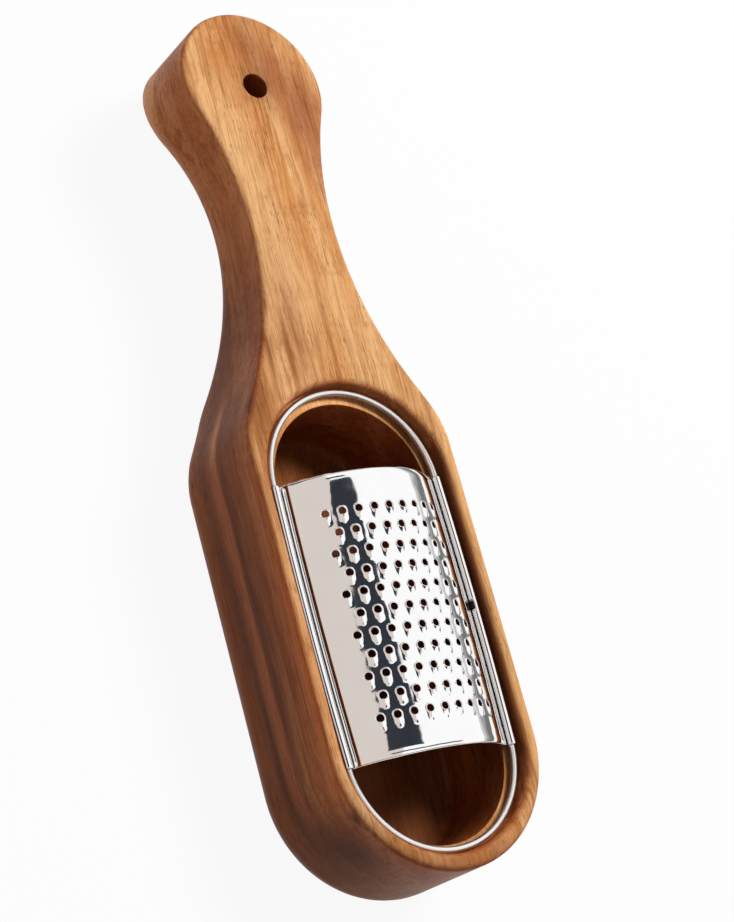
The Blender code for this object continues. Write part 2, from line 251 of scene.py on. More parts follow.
def cavity_ring(inset=0.0):
    """Plan of the cavity, drawn in by the inset."""
    return slot_ring(cavity_half_width - inset, cavity_foot_y + inset, cavity_handle_y - inset)


def rebate_ring(flare=0.0):
    """Plan of the rebate, widened by the flare."""
    return slot_ring(rebate_half_width + flare, rebate_foot_y - flare, rebate_handle_y + flare)


# Lower board: base, round base edge and wall up to the glue, cavity floor and its wall
top_angle = base_angle(plan, outward, joint_low)
rows = []
for share in np.linspace(0, 1, 13):
    angle = top_angle * share
    ring = plan - outward * (base_round * (1 - np.sin(angle)))[:, None]
    rows.append(at_height(ring, underside(ring[:, 1]) + base_round * (1 - np.cos(angle))))
arrival = rows[-1]
for share in (0.25, 0.5, 0.75, 1):
    rows.append(at_height(arrival[:, :2], arrival[:, 2] + (joint_low - arrival[:, 2]) * share))
base_ring = rows[0][:, :2]
right_half = base_ring[:len(plan) // 2]
lattice = np.stack(np.meshgrid(lattice_x, lattice_y), -1).reshape(-1, 2)
off_edge = np.linalg.norm(lattice[:, None] - base_ring, axis=2).min(1) > lattice_edge_room
inside = np.abs(lattice[:, 0]) < np.interp(lattice[:, 1], right_half[:, 1], right_half[:, 0])
off_bore = np.hypot(lattice[:, 0], lattice[:, 1] - hang_hole_y) > hang_hole_radius + lattice_bore_room
lattice = lattice[off_edge & inside & off_bore]
bore_low = bore_ring(hang_hole_radius + hang_hole_edge)
lower_bore = []
for angle in quarter[::2]:
    ring = bore_ring(hang_hole_radius + hang_hole_edge * (1 - math.sin(angle)))
    lower_bore.append(at_height(ring, underside(ring[:, 1]) + hang_hole_edge * (1 - math.cos(angle))))
lower_bore.append(at_height(bore_ring(hang_hole_radius), joint_low))
pocket = []
for angle in quarter:
    ring = cavity_ring(cavity_corner_radius * (1 - math.sin(angle)))
    pocket.append(at_height(ring, cavity_floor_z + cavity_corner_radius * (1 - math.cos(angle))))
pocket.append(at_height(cavity_ring(), joint_low))
lower_board = join_patches("lower_board_wood", [
    loft(rows),
    flat_patch([base_ring, bore_low], underside, lattice, down=True),
    flat_patch([rows[-1][:, :2], cavity_ring(), bore_ring(hang_hole_radius)], joint_low),
    loft(lower_bore, inward=True),
    loft(pocket, inward=True),
    flat_patch([pocket[0][:, :2]], cavity_floor_z),
])
soften(lower_board)

# Upper board: wall and round top edge, cavity wall, ledge, rebate and the mouth's round lip
rows = [at_height(wall_at(z), z) for z in np.linspace(joint_high, block_height - top_round, 16)]
for angle in quarter[1:]:
    ring = plan - outward * top_round * (1 - math.cos(angle))
    rows.append(at_height(ring, block_height - top_round * (1 - math.sin(angle))))
mouth = [at_height(cavity_ring(), z) for z in (joint_high, ledge_z - ledge_edge_round)]
for angle in quarter[2::2]:
    ring = cavity_ring(-ledge_edge_round * (1 - math.cos(angle)))
    mouth.append(at_height(ring, ledge_z - ledge_edge_round * (1 - math.sin(angle))))
for angle in quarter[::2]:
    ring = rebate_ring(-rebate_fillet * (1 - math.sin(angle)))
    mouth.append(at_height(ring, ledge_z + rebate_fillet * (1 - math.cos(angle))))
for angle in np.linspace(0, math.pi / 2, 11):
    ring = rebate_ring(lip_round * (1 - math.cos(angle)))
    mouth.append(at_height(ring, block_height - lip_round * (1 - math.sin(angle))))
upper_bore = [at_height(bore_ring(hang_hole_radius), joint_high)]
for angle in quarter[::2]:
    ring = bore_ring(hang_hole_radius + hang_hole_edge * (1 - math.cos(angle)))
    upper_bore.append(at_height(ring, block_height - hang_hole_edge * (1 - math.sin(angle))))
upper_board = join_patches("upper_board_wood", [
    loft(rows),
    flat_patch([wall_at(joint_high), cavity_ring(), bore_ring(hang_hole_radius)], joint_high, down=True),
    flat_patch([rows[-1][:, :2], mouth[-1][:, :2], upper_bore[-1][:, :2]], block_height),
    loft(upper_bore, inward=True),
    loft(mouth, inward=True),
])
soften(upper_board)


def mark_sides(piece):
    """Keep at each face corner how far it faces sideways: nought on flat faces and one on walls, where the
    wood gets its painted shade.
    """
    normals = np.empty(3 * len(piece.data.loops))
    piece.data.corner_normals.foreach_get("vector", normals)
    side = 1 - np.abs(normals.reshape(-1, 3)[:, 2])
    piece.data.attributes.new("side", "FLOAT", "CORNER").data.foreach_set("value", side)


def tone(red, green, blue):
    """A colour written as on a screen, 0 to 255, turned into the light that it stands for."""
    share = np.array([red, green, blue]) / 255
    light = np.where(share <= 0.04045, share / 12.92, ((share + 0.055) / 1.055) ** 2.4)
    return (*light.tolist(), 1.0)


class Signal:
    """One output of a material's nodes. Sums, products and powers of signals become Math nodes."""

    def __init__(self, tree, socket):
        self.tree = tree
        self.socket = socket

    def make(self, kind, inputs, output=0, **settings):
        """Any other node of the same material, fed with signals or plain values."""
        node = self.tree.nodes.new(kind)
        for name, value in settings.items():
            setattr(node, name, value)
        for key, value in inputs.items():
            if isinstance(value, Signal):
                self.tree.links.new(value.socket, node.inputs[key])
            else:
                node.inputs[key].default_value = value
        return Signal(self.tree, node.outputs[output])

    def sum_of(self, operation, *others):
        """A Math node on this signal and the others."""
        return self.make("ShaderNodeMath", dict(enumerate((self, *others))), operation=operation)

    def __add__(self, other):
        return self.sum_of("ADD", other)

    def __sub__(self, other):
        return self.sum_of("SUBTRACT", other)

    def __mul__(self, other):
        return self.sum_of("MULTIPLY", other)

    def __truediv__(self, other):
        return self.sum_of("DIVIDE", other)

    def __pow__(self, other):
        return self.sum_of("POWER", other)

    __radd__ = __add__
    __rmul__ = __mul__

    def __rsub__(self, other):
        return self * -1 + other

    def between(self, low, high):
        """Nought below low, one above high and a smooth rise between."""
        inputs = {"Value": self, "From Min": low, "From Max": high}
        return self.make("ShaderNodeMapRange", inputs, interpolation_type="SMOOTHSTEP")

    def stretched(self, x, y, z):
        """This place with each axis divided by a length in millimetres."""
        inputs = {0: self, 1: (1000 / x, 1000 / y, 1000 / z)}
        return self.make("ShaderNodeVectorMath", inputs, operation="MULTIPLY")

    def cloud(self, detail=2.0, roughness=0.5):
        """Soft noise of about unit size at this place."""
        inputs = {"Vector": self, "Scale": 1.0, "Detail": detail, "Roughness": roughness}
        return self.make("ShaderNodeTexNoise", inputs)

    def blended(self, first, second, blend="MIX"):
        """The first colour turned by this share into the second, or into their product."""
        inputs = {0: self, 6: first, 7: second}
        return self.make("ShaderNodeMix", inputs, output=2, data_type="RGBA", blend_type=blend)


def new_material(name):
    """A material, its Principled shader and the place on the piece that it is read at."""
    material = bpy.data.materials.new(name)
    material.use_nodes = True
    tree = material.node_tree
    shader = tree.nodes["Principled BSDF"]
    place = Signal(tree, tree.nodes.new("ShaderNodeTexCoord").outputs["Object"])
    return material, shader, place


def feed(shader, socket, signal):
    """Lead a signal into one of the shader's sockets."""
    signal.tree.links.new(signal.socket, shader.inputs[socket])


def patch_of(place, centre, reach):
    """A soft spot: one at the centre and falling off as a bell over the reach, in millimetres."""
    inputs = {0: place, 1: tuple(c / 1000 for c in centre)}
    off = place.make("ShaderNodeVectorMath", inputs, operation="SUBTRACT").stretched(*reach)
    far = off.make("ShaderNodeVectorMath", {0: off}, output=1, operation="LENGTH")
    return (far * far * -1).sum_of("EXPONENT")


def acacia(name, tones, side_shade_tint, pith, ring_width, patches):
    """Oiled acacia: growth rings round a pith, fibres and pores along the grain, and patches: some the
    wood's own tone, some painted light and painted shade.

    The walls are painted darker than the flat faces as painted shade, so there the side shade tint
    multiplies the colour.
    Each patch is a tone, its strength, its centre and its reach, the last two in millimetres.
    """
    ring_waver = 26
    ring_tilt = 0.035
    thread_tint = (0.70, 0.56, 0.46, 1.0)
    fibre_tint = (0.58, 0.44, 0.35, 1.0)
    material, shader, place = new_material(name)
    wave = place.stretched(30, 120, 30).cloud(1.5)
    x, y, z = (place.make("ShaderNodeSeparateXYZ", {0: place}, output=i) * 1000 for i in range(3))
    across = x - pith[0] + (wave - 0.5) * ring_waver
    depth = z - pith[1] + y * ring_tilt
    ring = (across * across + depth * depth) ** 0.5 / ring_width
    bands = ring.make("ShaderNodeTexNoise", {"W": ring, "Scale": 1.0, "Detail": 2.0}, noise_dimensions="1D")
    fibre = place.stretched(0.42, 22, 0.42).cloud(3.0, 0.6)
    strand = place.stretched(2.2, 50, 2.2).cloud(2.0)
    thread = place.stretched(0.7, 11, 0.7).cloud(2.0)
    mottle = place.stretched(5, 11, 5).cloud(3.0, 0.6)
    light, middle, deep, pore = tones
    colour = bands.between(0.34, 0.64).blended(middle, light)
    colour = (mottle.between(0.46, 0.72) * 0.45).blended(colour, deep)
    colour = (strand.between(0.50, 0.66) * 0.60).blended(colour, deep)
    # Patches: some are the wood's own tone, others are painted light and painted shade.
    for spot_tone, strength, centre, reach in patches:
        colour = (patch_of(place, centre, reach) * strength).blended(colour, spot_tone)
    side = place.make("ShaderNodeAttribute", {}, output=2, attribute_name="side")
    # Painted shade: the walls are darkened by the side shade tint.
    colour = side.between(0.0, 0.45).blended(colour, (*side_shade_tint, 1.0), "MULTIPLY")
    colour = (thread.between(0.50, 0.66) * 0.50).blended(colour, thread_tint, "MULTIPLY")
    colour = (fibre.between(0.46, 0.72) * 0.52).blended(colour, fibre_tint, "MULTIPLY")
    room = place.stretched(7, 22, 7).cloud(1.0).between(0.38, 0.60)
    short = place.stretched(0.32, 3.4, 0.32).cloud(1.0).between(0.60, 0.70)
    long = place.stretched(0.45, 13, 0.45).cloud(1.0).between(0.62, 0.72)
    pores = short.sum_of("MAXIMUM", long) * (room * 0.7 + 0.3)
    colour = (pores * 0.6).blended(colour, pore)
    feed(shader, "Base Color", colour)
    feed(shader, "Roughness", 0.42 + (fibre - 0.5) * 0.25 + pores * 0.2)
    relief = {"Height": fibre * 0.3 - pores, "Strength": 0.4, "Distance": 0.00012}
    feed(shader, "Normal", place.make("ShaderNodeBump", relief))
    shader.inputs["Specular IOR Level"].default_value = 0.07
    return material


mark_sides(upper_board)
mark_sides(lower_board)
upper_board.data.materials.append(acacia(
    "acacia_upper",
    tones=(tone(238, 184, 127), tone(220, 156, 96), tone(176, 107, 58), tone(112, 64, 34)),
    side_shade_tint=(0.93, 0.62, 0.52),
    pith=(-95, -60),
    ring_width=9,
    patches=[
        (tone(154, 86, 54), 0.68, (0, 153, 55), (8, 13, 30)),
        (tone(156, 88, 54), 0.68, (8, 141, 55), (8, 13, 30)),
        (tone(166, 100, 66), 0.78, (17, 126, 55), (11, 19, 30)),
        (tone(164, 98, 64), 0.68, (21, 106, 55), (7, 24, 30)),
        (tone(240, 190, 132), 0.50, (-2, 46, 55), (12, 16, 12)),
        (tone(166, 98, 58), 0.60, (-12, 36, 55), (5, 24, 14)),
        (tone(190, 118, 58), 0.60, (-14, 143, 55), (8, 10, 12)),
        (tone(240, 192, 136), 0.60, (-14, 104, 55), (6, 30, 14)),
        (tone(240, 192, 140), 0.55, (-9, 66, 55), (6, 34, 12)),
        (tone(238, 188, 134), 0.50, (17, 28, 55), (11, 26, 12)),
        (tone(140, 76, 44), 0.70, (-35, 4, 52), (6, 16, 12)),
        (tone(150, 84, 46), 0.80, (-25.5, 24, 55), (1.3, 12, 8)),
        (tone(156, 90, 50), 0.80, (-17, 26, 55), (1.2, 11, 8)),
        (tone(160, 94, 52), 0.70, (-12.5, 33, 55), (0.9, 13, 8)),
        (tone(162, 96, 54), 0.70, (2, 28, 55), (1.0, 18, 8)),
        (tone(140, 74, 40), 0.50, (-43.8, -30, 55), (1.6, 40, 4)),
        # Painted light: the left rim and its outer round are brightened where they face away from the key
        # lamp.
        (tone(240, 152, 88), 0.85, (-43.6, -84, 52.2), (4, 62, 2.6)),
        # Painted shade: the left walls, which face away from the key lamp, are darkened.
        (tone(104, 54, 34), 0.70, (-47, -50, 40), (9, 72, 11)),
        (tone(112, 62, 40), 0.60, (-42, 14, 42), (9, 24, 14)),
        (tone(92, 48, 32), 0.75, (-44, -60, 33), (14, 105, 3.4)),
        # Painted light: the right rim's outer round is lightened as if lit by the key lamp.
        (tone(255, 188, 124), 1.0, (41.8, -60, 54), (3.2, 95, 6)),
        # Painted shade: the right lip's inner round, which faces away from the light, is darkened.
        (tone(84, 38, 18), 0.90, (37.6, -66, 52), (1.1, 85, 2.6)),
        # Painted light: a bright band along the top of the right lip.
        (tone(255, 200, 134), 0.90, (39.9, -60, 54.6), (1.5, 90, 1.6)),
        # Painted shade: a dark line at the foot of the left lip beside the wire, the shadow in the gap.
        (tone(56, 34, 25), 1.30, (-38.0, -75, 52.0), (1.3, 95, 1.9)),
        # Painted shade: the walls at the left of the foot are darkened.
        (tone(72, 42, 30), 0.90, (-32, -150, 36), (24, 18, 20)),
        (tone(178, 110, 66), 0.70, (4, -163, 55), (40, 8, 6)),
        (tone(130, 74, 44), 0.40, (-12, -168, 44), (40, 12, 30)),
        # Painted shade: the left walls of the neck, which face away from the key lamp, are darkened.
        (tone(130, 74, 42), 0.35, (-30, 80, 38), (14, 70, 16)),
        (tone(92, 50, 34), 0.45, (-24, 50, 40), (9, 26, 16)),
        # Partly the routed wood's darker tone and partly painted shade: the inside of the cavity is
        # darkened.
        (tone(78, 46, 30), 1.4, (0, -74, 16), (40, 95, 26)),
        # Painted light: the ledge at the mouth's handle end is lightened as if lit.
        (tone(252, 186, 126), 1.0, (0, 10, 47.8), (36, 7, 2.2)),
        # Painted shade: the right inner walls of the mouth, which face away from the key lamp, are
        # darkened.
        (tone(60, 32, 20), 1.2, (35, -74, 40), (10, 70, 13)),
        # Partly the bored end grain's darker tone and partly painted shade: the hanging hole's wall is
        # darkened.
        (tone(38, 20, 12), 1.6, (0, 133.6, 22), (6.5, 6.5, 30)),
    ],
))
lower_board.data.materials.append(acacia(
    "acacia_lower",
    tones=(tone(212, 140, 84), tone(186, 114, 64), tone(148, 82, 44), tone(98, 54, 30)),
    side_shade_tint=(1.0, 0.84, 0.76),
    pith=(60, -40),
    ring_width=7,
    patches=[
        (tone(252, 188, 130), 0.90, (-34, 150, 27), (30, 30, 16)),
        # Painted light: a bright sliver on the left shoulder just under the glue line, where the wall turns
        # towards the light.
        (tone(244, 178, 120), 0.90, (-42, 4, 27.5), (12, 10, 2.2)),
        # Painted shade: the left wall of the neck, which faces away from the key lamp, is darkened.
        (tone(112, 64, 42), 0.80, (-24, 50, 24), (16, 36, 14)),
        (tone(204, 130, 98), 0.85, (-44, -60, 28.6), (14, 110, 2.8)),
        (tone(66, 36, 24), 0.75, (-44, -118, 23), (14, 42, 2.0)),
        (tone(88, 46, 30), 0.70, (-44, -30, 21), (14, 90, 5)),
        (tone(98, 54, 34), 0.60, (-30, -150, 8), (40, 50, 12)),
        # Painted shade: the walls at the left of the foot are darkened.
        (tone(72, 42, 30), 0.80, (-34, -148, 28), (24, 20, 12)),
        (tone(255, 190, 130), 0.75, (-42, 6, 28.4), (12, 11, 1.5)),
        # Partly the routed wood's darker tone and partly painted shade: the inside of the cavity is
        # darkened.
        (tone(108, 62, 40), 1.4, (0, -74, 22), (36, 95, 20)),
        # Painted light: lit patches on the cavity floor at the handle end and at the foot.
        (tone(170, 104, 60), 0.85, (2, -4, 14.5), (20, 16, 7)),
        (tone(142, 84, 50), 0.50, (0, -130, 14.5), (28, 18, 6)),
        # Partly the bored end grain's darker tone and partly painted shade: the hanging hole's wall is
        # darkened.
        (tone(38, 20, 12), 1.6, (0, 133.6, 22), (6.5, 6.5, 30)),
    ],
))
for board in (upper_board, lower_board):
    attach(board, "grater_box")
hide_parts("upper_board")
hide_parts("lower_board")

# The wire: one round steel rod, bent into a long loop that bows out a little on its two sides,
# and butted end to end on the right. It rests on the ledge and carries the plate.

loop_half_width = 0.0348
loop_side_bow = 0.0008
loop_mid_y = -0.07315
loop_half_straight = 0.04905
wire_radius = 0.00115
wire_z = 0.04995
wire_end_draw_in = 0.14
wire_end_inset = 0.12
joint_y = -0.07325
joint_gap = 0.0030


def side_bow(y):
    """How far the loop's side stands out at y.

    It is the bow times one less the square of the way from the loop's middle over its half
    straight, and nought past that.
    """
    return loop_side_bow * np.maximum(1 - ((y - loop_mid_y) / loop_half_straight) ** 2, 0)


def loop_path():
    """Centreline of the loop from one side of its joint round the foot to the other side."""
    foot_y = loop_mid_y - loop_half_straight
    handle_y = loop_mid_y + loop_half_straight
    down = np.linspace(joint_y - joint_gap / 2, foot_y, 20)
    up = np.linspace(foot_y, handle_y, 40)
    back = np.linspace(handle_y, joint_y + joint_gap / 2, 20)
    return np.vstack([
        np.column_stack([loop_half_width + side_bow(down), down]),
        arc((0, foot_y), loop_half_width, 0, -math.pi, 72)[0][1:],
        np.column_stack([-loop_half_width - side_bow(up), up])[1:],
        arc((0, handle_y), loop_half_width, math.pi, 0, 72)[0][1:],
        np.column_stack([loop_half_width + side_bow(back), back])[1:],
    ])


def rod(path, radius, around=20):
    """Patches of a round rod: a circle carried square to the path, with slightly rounded ends.

    Each point is the path's point plus the radius times the cosine of the turn sideways and
    its sine upwards. A circle that is drawn in stands at each end, and its cap closes the rod.
    """
    along = np.gradient(path, axis=0)
    along /= np.linalg.norm(along, axis=1)[:, None]
    side = np.column_stack([along[:, 1], -along[:, 0], np.zeros(len(path))])
    turn = np.linspace(0, 2 * math.pi, around, endpoint=False)[None, :, None]
    centre = np.column_stack([path, np.full(len(path), wire_z)])[:, None]
    rows = centre + radius * (np.cos(turn) * side[:, None] + np.sin(turn) * np.array([0, 0, 1.0]))
    ends = centre[[0, -1]] + (rows[[0, -1]] - centre[[0, -1]]) * (1 - wire_end_draw_in)
    tangents = np.column_stack([along, np.zeros(len(path))])
    rows[0] += tangents[0] * radius * wire_end_inset
    rows[-1] -= tangents[-1] * radius * wire_end_inset
    rows = np.concatenate([ends[:1], rows, ends[1:]])
    cap = np.arange(around)[None]
    return [loft(rows, inward=True), (rows[0], cap), (rows[-1], cap[:, ::-1])]


wire = join_patches("wire_rod", rod(loop_path(), wire_radius), 1e-7)
soften(wire)


def polished_steel(name, colour, roughness, haze, scratch, curled=False):
    """Polished steel: nearly a mirror, with faint hazy smears and hair-fine rubbing marks.

    On a curled sheet the distance from the loop's centreline tells the curl's inside, up
    to 1.5 mm from it, which is made rougher and painted dark as shade, from its bright
    outside, and the sheet only waves away from its curls.
    """
    painted_curl_shade = (0.07, 0.06, 0.055, 1.0)
    material, shader, place = new_material(name)
    smear = place.stretched(9, 14, 9).cloud(3.0)
    hair = place.stretched(0.25, 9, 0.25).cloud(2.0)
    shade = smear.between(0.3, 0.8).blended(colour, tuple(c * 0.97 for c in colour[:3]) + (1.0,))
    rough = roughness + smear.between(0.45, 0.75) * haze + hair.between(0.6, 0.8) * scratch
    relief = hair * 0.02
    if curled:
        x, y, z = (place.make("ShaderNodeSeparateXYZ", {0: place}, output=i) * 1000 for i in range(3))
        way = (y - loop_mid_y * 1000) / (loop_half_straight * 1000)
        off = x.sum_of("ABSOLUTE") - loop_half_width * 1000 - (1 - way * way) * loop_side_bow * 1000
        rise = z - wire_z * 1000
        far = (off * off + rise * rise) ** 0.5
        dull_and_shade = far.between(1.22, 1.36) * (1 - far.between(1.60, 1.80))
        # Painted shade: the curl's inside is coloured nearly black; it is also made rougher.
        shade = dull_and_shade.blended(shade, painted_curl_shade)
        rough = rough + dull_and_shade * 0.4
        relief = relief + place.stretched(7, 7, 7).cloud(1.0) * far.between(2, 7)
    feed(shader, "Base Color", shade)
    feed(shader, "Roughness", rough)
    relief = {"Height": relief, "Strength": 1.0, "Distance": 0.00012}
    feed(shader, "Normal", place.make("ShaderNodeBump", relief))
    shader.inputs["Metallic"].default_value = 1.0
    return material


wire.data.materials.append(polished_steel(
    "polished_rod",
    colour=(0.95, 0.95, 0.94, 1.0),
    roughness=0.34,
    haze=0.05,
    scratch=0.05,
))
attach(wire, "grater_insert")
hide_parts("wire_frame")

# The grating plate: one sheet of polished steel, arched over the loop, with rows of pressed teeth,
# each a collar round a punched hole that runs out in a ridged tail towards the foot. Its long
# edges are rolled round the wire, with a notch at the wire's joint, and its ends bend down a little.

plate_foot_y = -0.12495
plate_handle_y = -0.02395
plate_thickness = 0.0005
plate_rise = 0.0146
arch_half_angle = math.radians(40)
heel_angle = math.radians(62)
heel_radius = 0.0020
heel_lengths = np.array([0.0041, 0.0019])
curl_clearance = 0.0003
curl_radius = wire_radius + curl_clearance + plate_thickness / 2
curl_slack = 0.00045
curl_turn = math.radians(310)
lip_length = 0.0026
lip_drop = 0.0006
notch_y = joint_y
notch_length = 0.0033
notch_turn = math.radians(46)
row_pitch = 0.0073
column_pitch = 0.00594
tooth_rows = 11
tooth_columns = 9
teeth_mid_y = -0.0760
hole_radius = 0.00135
hole_shift_y = 0.0014
rim_height = 0.00022
rim_flat = 0.0001
collar_slope = 0.75
tail_height = 0.00070
tail_reach = 0.0046
tail_half_width = 0.00165
tail_taper = 0.25
tail_end_power = 8
ridge_half_width = 0.00022
tooth_fillet = 0.00012
cell_steps = 8
cell_ring_shares = np.array([0, 0.12, 0.25, 0.38, 0.50, 0.61, 0.71, 0.80, 0.88, 0.94, 1.0])

# The arch's radius and the straight below it follow from the crown's height, the loop's width
# and the tangent at which the heel meets the curl. Each is a pair, for the left and right halves.
arch_cos = math.cos(arch_half_angle)
arch_sin = math.sin(arch_half_angle)
heel_cos = math.cos(heel_angle)
heel_sin = math.sin(heel_angle)
heel_run = heel_radius * (heel_angle - arch_half_angle)
heel_x = heel_radius * (heel_sin - arch_sin) + heel_lengths * heel_cos
heel_z = heel_radius * (arch_cos - heel_cos) + heel_lengths * heel_sin
span_x = loop_half_width - (curl_radius + curl_slack) * heel_sin - heel_x
span_z = plate_rise + (curl_radius + curl_slack) * heel_cos - heel_z
slopes = [[arch_sin, arch_cos], [1 - arch_cos, arch_sin]]
arch_radius, flange_length = np.linalg.solve(slopes, [span_x, span_z])
arch_centre_z = wire_z + plate_rise - arch_radius
arch_half_length = arch_radius * arch_half_angle
heel_start = arch_half_length + flange_length
heel_end = heel_start + heel_run
flange_end = heel_end + heel_lengths
curl_end = flange_end + curl_radius * curl_turn
notch_start = curl_end - curl_radius * notch_turn
field_half = tooth_columns * column_pitch / 2
field_foot_y = teeth_mid_y - tooth_rows * row_pitch / 2
field_handle_y = teeth_mid_y + tooth_rows * row_pitch / 2


def sheet_point(s, y, lift):
    """Place on the sheet: s runs across from the crown, and lift stands along the upper normal.

    Up to the arch's half length the section is a circle, then a straight flange, a tight bend
    and a short straight heel, and past the heel it rolls back over the wire. The roll starts
    wider by its slack, which goes with the cosine of the turn. The loop's bow is added in
    proportion to the square of the distance from the crown.
    """
    run = np.abs(s)
    half = (s > 0).astype(int)
    arch = arch_radius[half]
    turn = np.minimum(run / arch, arch_half_angle)
    straight = np.clip(run - arch_half_length[half], 0, flange_length[half])
    bent = turn + np.clip(run - heel_start[half], 0, heel_run) / heel_radius
    curled = np.maximum(run - flange_end[half], 0) / curl_radius
    rolled = heel_angle + math.pi - curled
    roll_radius = curl_radius + curl_slack * (1 + np.cos(np.minimum(2 * curled, math.pi))) / 2
    on_roll = run > flange_end[half]
    normal_x = np.where(on_roll, -np.sin(rolled), np.sin(bent))
    normal_z = np.where(on_roll, -np.cos(rolled), np.cos(bent))
    steep = np.clip(run - heel_end[half], 0, heel_lengths[half])
    x = arch * np.sin(turn) + straight * np.cos(turn) + heel_radius * (np.sin(bent) - np.sin(turn))
    x = x + steep * heel_cos
    z = arch * np.cos(turn) - straight * np.sin(turn) + heel_radius * (np.cos(bent) - np.cos(turn))
    z = z - steep * heel_sin
    x = np.where(on_roll, loop_half_width + roll_radius * np.sin(rolled), x)
    z = np.where(on_roll, wire_z + roll_radius * np.cos(rolled), arch_centre_z[half] + z)
    spread = np.minimum(run / arch_half_length[half], 1) ** 2
    x = x + normal_x * lift + side_bow(y) * spread
    return np.stack([np.sign(s) * x, y + np.zeros_like(x), z + normal_z * lift], -1)


def tooth_lift(across, along):
    """Height of a tooth above the sheet at a place measured from its hole's centre.

    The higher of a low collar, which falls evenly from the hole's rim, and a hood whose narrow
    flat ridge falls with the square of the way to its end, while its flanks fall evenly to a
    foot that narrows and ends round. Both run into the sheet in a fillet: within its height of
    the sheet the lift is the square of the height plus the fillet, over four fillets. The way
    stops just short of its end, where the foot would have no width.
    """
    last_way = 0.995
    least_flank = 0.15 * tail_height
    collar = rim_height - collar_slope * (np.hypot(across, along) - hole_radius - rim_flat)
    way = np.maximum(-along, 0) / tail_reach
    ridge = tail_height * (1 - way ** 2) - collar_slope * np.maximum(along, 0)
    foot = tail_half_width * (1 - tail_taper * np.minimum(way, 1))
    foot = foot * np.sqrt(1 - np.minimum(way, last_way) ** tail_end_power)
    flank = np.maximum(np.abs(across) - ridge_half_width, 0) / (foot - ridge_half_width)
    hood = ridge - np.maximum(ridge, least_flank) * flank
    height = np.maximum(np.minimum(collar, rim_height), hood)
    blend = np.clip(height + tooth_fillet, 0, 2 * tooth_fillet)
    return np.maximum(height, blend ** 2 / (4 * tooth_fillet))


def lip_lift(s, y):
    """The ends of the sheet bend down by the lip's drop, with the square of the way into the lip."""
    into = np.maximum(plate_foot_y + lip_length - y, y - plate_handle_y + lip_length) / lip_length
    half = (s > 0).astype(int)
    fade = np.clip((flange_end[half] - np.abs(s)) / (flange_end - arch_half_length)[half], 0, 1)
    return -lip_drop * np.clip(into, 0, 1) ** 2 * fade


def notch_bend(s, y):
    """Moves the lines nearest the notch's two ends onto them, more and more towards the roll."""
    pull = np.zeros_like(y)
    step = row_pitch / cell_steps
    for end in (notch_y - notch_length / 2, notch_y + notch_length / 2):
        line = field_handle_y - round((field_handle_y - end) / step) * step
        pull += (end - line) * (np.abs(y - line) < step / 100)
    return pull * np.clip((s - field_half) / (flange_end[1] - field_half), 0, 1)


def sheet_grid(s_lines, y_lines):
    """A plain patch of the sheet between lines across it and lines along it, less the notch."""
    s, y = np.meshgrid(s_lines, y_lines)
    if np.abs(s_lines).max() > field_half + 1e-6:
        y = y + notch_bend(s, y)
    points = sheet_point(s, y, lip_lift(s, y))
    here = np.arange(s.size).reshape(s.shape)
    faces = np.stack([here[:-1, :-1], here[:-1, 1:], here[1:, 1:], here[1:, :-1]], -1)
    middle_y = (y[:-1, :-1] + y[1:, 1:]) / 2
    middle_s = (s[:-1, :-1] + s[1:, 1:]) / 2
    in_notch = (middle_s > notch_start[1]) & (np.abs(middle_y - notch_y) < notch_length / 2)
    return points.reshape(-1, 3), faces[~in_notch]


def tooth_cells(centres):
    """Cells of the pattern: rings that run from the border of each cell in to its round hole.

    A ring is the border times one less its share, plus the hole's circle times its share. One
    ray follows the tooth's ridge, and two more run close beside it, so that it stays fine. The
    lift grows from nought at the border to its full height in a sixth of the way in.
    """
    side = np.linspace(-1, 1, cell_steps + 1)[:-1]
    one = np.ones(cell_steps)
    half = cell_steps // 2
    ridge = 3 * cell_steps
    u = np.concatenate([one[:half], -side, -one, side, one[:half]]) * column_pitch / 2
    v = np.concatenate([side[half:], one, -side, -one, side[:half]]) * row_pitch / 2
    angle = np.arange(4 * cell_steps) * math.pi / 2 / cell_steps
    narrow = ridge_half_width / hole_radius
    u = np.insert(u, [ridge, ridge + 1], [-ridge_half_width, ridge_half_width])
    v = np.insert(v, [ridge, ridge + 1], -row_pitch / 2)
    angle = np.insert(angle, [ridge, ridge + 1], [math.pi * 1.5 - narrow, math.pi * 1.5 + narrow])
    share = cell_ring_shares[:, None]
    across = u * (1 - share) + hole_radius * np.cos(angle) * share
    across[0, ridge:ridge + 3] = 0
    along = (v - hole_shift_y) * (1 - share) + hole_radius * np.sin(angle) * share
    lift = tooth_lift(across, along) * np.minimum(share * 6, 1)
    s = centres[:, 0, None, None] + across
    y = centres[:, 1, None, None] + hole_shift_y + along
    return [loft(cell) for cell in sheet_point(s, y, lift)]


